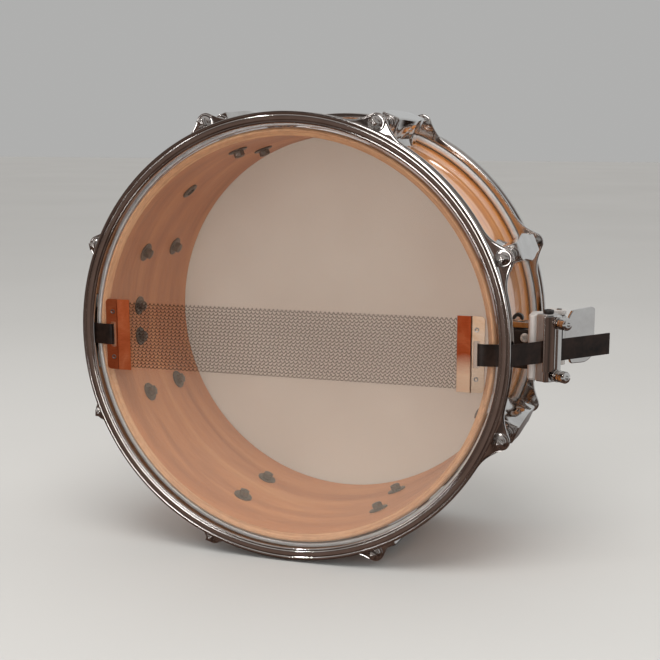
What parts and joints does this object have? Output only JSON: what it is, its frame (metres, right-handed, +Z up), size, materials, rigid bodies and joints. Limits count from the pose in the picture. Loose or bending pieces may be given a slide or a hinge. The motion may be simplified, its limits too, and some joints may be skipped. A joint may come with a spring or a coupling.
{
  "type": "snare drum",
  "caption": "Wooden-shell snare drum lying on its side, with two heads held by chromed flanged hoops, lugs and tension rods, coiled snare wires, a strap strainer and a butt end.",
  "frame": {"origin": "centre of the drum's bounding box at the level it stands on", "axes": "+Z up with the drum on its side, -Y out of the snare side along the drum's axis, +X toward the strainer"},
  "size_m": [0.4568, 0.1792, 0.3824],
  "materials": {
    "maple": "clear gloss lacquer over maple plies",
    "chrome": "polished chrome plate",
    "hazy_film": "thin translucent polyester film",
    "coated_film": "white coated polyester film",
    "aluminium": "satin aluminium",
    "steel": "plain steel wire and screws",
    "copper": "satin copper sheet",
    "black_nylon": "black nylon strap and cap"
  },
  "bodies": {
    "drum": {"shell": "maple", "vent_grommet": "chrome", "snare_side_hoop": "chrome", "batter_hoop": "chrome", "butt_body": "chrome", "butt_clamp_plate": "chrome", "lug_1": "chrome", "lug_2": "chrome", "lug_3": "chrome", "lug_4": "chrome", "lug_5": "chrome", "lug_6": "chrome", "lug_7": "chrome", "lug_8": "chrome", "snare_side_head": "hazy_film", "batter_head": "coated_film", "snare_side_flesh_hoop": "aluminium", "batter_flesh_hoop": "aluminium", "strainer_base": "aluminium", "snare_wires": "steel", "lever_pin": "steel", "strainer_screw_upper": "steel", "strainer_screw_lower": "steel", "butt_screw_upper": "steel", "butt_screw_lower": "steel", "snare_end_plate_strainer_side": "copper", "snare_end_plate_butt_side": "copper", "strainer_strap": "black_nylon", "butt_strap": "black_nylon"},
    "snare_tension_rod_1": {"snare_tension_rod_1": "chrome"},
    "snare_tension_rod_2": {"snare_tension_rod_2": "chrome"},
    "snare_tension_rod_3": {"snare_tension_rod_3": "chrome"},
    "snare_tension_rod_4": {"snare_tension_rod_4": "chrome"},
    "snare_tension_rod_5": {"snare_tension_rod_5": "chrome"},
    "snare_tension_rod_6": {"snare_tension_rod_6": "chrome"},
    "snare_tension_rod_7": {"snare_tension_rod_7": "chrome"},
    "snare_tension_rod_8": {"snare_tension_rod_8": "chrome"},
    "batter_tension_rod_1": {"batter_tension_rod_1": "chrome"},
    "batter_tension_rod_2": {"batter_tension_rod_2": "chrome"},
    "batter_tension_rod_3": {"batter_tension_rod_3": "chrome"},
    "batter_tension_rod_4": {"batter_tension_rod_4": "chrome"},
    "batter_tension_rod_5": {"batter_tension_rod_5": "chrome"},
    "batter_tension_rod_6": {"batter_tension_rod_6": "chrome"},
    "batter_tension_rod_7": {"batter_tension_rod_7": "chrome"},
    "batter_tension_rod_8": {"batter_tension_rod_8": "chrome"},
    "carriage": {"strainer_carriage": "chrome", "strainer_clamp_plate": "chrome", "carriage_stop_cap": "black_nylon"},
    "lever": {"strainer_lever": "chrome"},
    "strainer_clamp_screw_upper": {"strainer_clamp_screw_upper": "chrome"},
    "strainer_clamp_screw_lower": {"strainer_clamp_screw_lower": "chrome"},
    "butt_clamp_screw_upper": {"butt_clamp_screw_upper": "chrome"},
    "butt_clamp_screw_lower": {"butt_clamp_screw_lower": "chrome"},
    "tension_knob": {"tension_knob": "chrome"}
  },
  "joints": [
    {"name": "snare_tension_rod_1_turn", "type": "hinge", "parent": "drum", "child": "snare_tension_rod_1", "pos_m": [0.15299, -0.08, 0.26533], "axis": [0, -1, 0], "continuous": true},
    {"name": "snare_tension_rod_2_turn", "type": "hinge", "parent": "drum", "child": "snare_tension_rod_2", "pos_m": [0.04773, -0.08, 0.3706], "axis": [0, -1, 0], "continuous": true},
    {"name": "snare_tension_rod_3_turn", "type": "hinge", "parent": "drum", "child": "snare_tension_rod_3", "pos_m": [-0.10113, -0.08, 0.3706], "axis": [0, -1, 0], "continuous": true},
    {"name": "snare_tension_rod_4_turn", "type": "hinge", "parent": "drum", "child": "snare_tension_rod_4", "pos_m": [-0.20639, -0.08, 0.26533], "axis": [0, -1, 0], "continuous": true},
    {"name": "snare_tension_rod_5_turn", "type": "hinge", "parent": "drum", "child": "snare_tension_rod_5", "pos_m": [-0.20639, -0.08, 0.11647], "axis": [0, -1, 0], "continuous": true},
    {"name": "snare_tension_rod_6_turn", "type": "hinge", "parent": "drum", "child": "snare_tension_rod_6", "pos_m": [-0.10113, -0.08, 0.0112], "axis": [0, -1, 0], "continuous": true},
    {"name": "snare_tension_rod_7_turn", "type": "hinge", "parent": "drum", "child": "snare_tension_rod_7", "pos_m": [0.04773, -0.08, 0.0112], "axis": [0, -1, 0], "continuous": true},
    {"name": "snare_tension_rod_8_turn", "type": "hinge", "parent": "drum", "child": "snare_tension_rod_8", "pos_m": [0.15299, -0.08, 0.11647], "axis": [0, -1, 0], "continuous": true},
    {"name": "batter_tension_rod_1_turn", "type": "hinge", "parent": "drum", "child": "batter_tension_rod_1", "pos_m": [0.15299, 0.08, 0.26533], "axis": [0, 1, 0], "continuous": true},
    {"name": "batter_tension_rod_2_turn", "type": "hinge", "parent": "drum", "child": "batter_tension_rod_2", "pos_m": [0.04773, 0.08, 0.3706], "axis": [0, 1, 0], "continuous": true},
    {"name": "batter_tension_rod_3_turn", "type": "hinge", "parent": "drum", "child": "batter_tension_rod_3", "pos_m": [-0.10113, 0.08, 0.3706], "axis": [0, 1, 0], "continuous": true},
    {"name": "batter_tension_rod_4_turn", "type": "hinge", "parent": "drum", "child": "batter_tension_rod_4", "pos_m": [-0.20639, 0.08, 0.26533], "axis": [0, 1, 0], "continuous": true},
    {"name": "batter_tension_rod_5_turn", "type": "hinge", "parent": "drum", "child": "batter_tension_rod_5", "pos_m": [-0.20639, 0.08, 0.11647], "axis": [0, 1, 0], "continuous": true},
    {"name": "batter_tension_rod_6_turn", "type": "hinge", "parent": "drum", "child": "batter_tension_rod_6", "pos_m": [-0.10113, 0.08, 0.0112], "axis": [0, 1, 0], "continuous": true},
    {"name": "batter_tension_rod_7_turn", "type": "hinge", "parent": "drum", "child": "batter_tension_rod_7", "pos_m": [0.04773, 0.08, 0.0112], "axis": [0, 1, 0], "continuous": true},
    {"name": "batter_tension_rod_8_turn", "type": "hinge", "parent": "drum", "child": "batter_tension_rod_8", "pos_m": [0.15299, 0.08, 0.11647], "axis": [0, 1, 0], "continuous": true},
    {"name": "strainer_lever_swing", "type": "hinge", "parent": "drum", "child": "lever", "pos_m": [0.1863, 0.008, 0.1909], "axis": [0, 0, -1], "range_deg": [0, 50]},
    {"name": "carriage_slide", "type": "slide", "parent": "drum", "child": "carriage", "axis": [-0.6331, -0.7741, 0], "range_m": [0, 0.006]},
    {"name": "strainer_clamp_screw_upper_turn", "type": "hinge", "parent": "carriage", "child": "strainer_clamp_screw_upper", "pos_m": [0.1893, -0.0493, 0.2124], "axis": [0.7741, -0.6331, 0], "continuous": true},
    {"name": "strainer_clamp_screw_lower_turn", "type": "hinge", "parent": "carriage", "child": "strainer_clamp_screw_lower", "pos_m": [0.1893, -0.0493, 0.1694], "axis": [0.7741, -0.6331, 0], "continuous": true},
    {"name": "butt_clamp_screw_upper_turn", "type": "hinge", "parent": "drum", "child": "butt_clamp_screw_upper", "pos_m": [-0.2227, -0.04, 0.2079], "axis": [-1, 0, 0], "continuous": true},
    {"name": "butt_clamp_screw_lower_turn", "type": "hinge", "parent": "drum", "child": "butt_clamp_screw_lower", "pos_m": [-0.2227, -0.04, 0.1739], "axis": [-1, 0, 0], "continuous": true},
    {"name": "tension_knob_turn", "type": "hinge", "parent": "drum", "child": "tension_knob", "pos_m": [0.1703, 0.04, 0.1909], "axis": [0, 1, 0], "continuous": true}
  ],
  "couplings": [
    {"joint": "strainer_lever_swing", "follows": "carriage_slide", "rad_per_m": 145.44}
  ]
}
